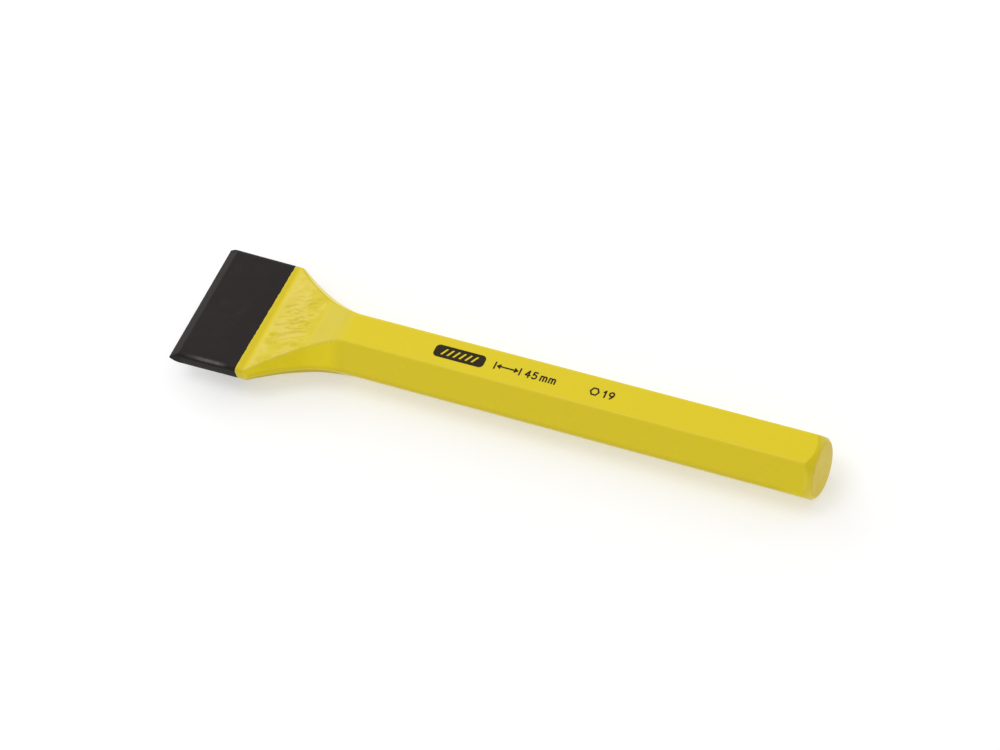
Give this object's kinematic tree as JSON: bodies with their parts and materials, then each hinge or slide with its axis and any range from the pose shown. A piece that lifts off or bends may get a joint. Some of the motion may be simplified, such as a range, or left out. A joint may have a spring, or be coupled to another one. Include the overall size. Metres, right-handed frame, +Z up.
{
  "type": "flat cold chisel",
  "caption": "Struck steel flat chisel forged from hexagon bar, black blade, yellow enamelled neck and shank.",
  "frame": {"origin": "middle of the length and width, on the plane of the lower hexagon flat that the tool lies on", "axes": "+X from the cutting edge to the struck end, +Y across the blade, +Z up out of the printed flat"},
  "size_m": [0.216, 0.045, 0.0195],
  "materials": {
    "steel": "forged steel under the coats",
    "black_lacquer": "satin black lacquer on the blade",
    "yellow_enamel": "semi-gloss yellow enamel over forged steel",
    "black_ink": "flat black printing ink"
  },
  "bodies": {
    "root": {"steel_forging": "steel", "black_lacquer": "black_lacquer", "yellow_enamel": "yellow_enamel", "badge_print": "black_ink", "width_print": "black_ink", "stock_print": "black_ink"}
  },
  "joints": []
}
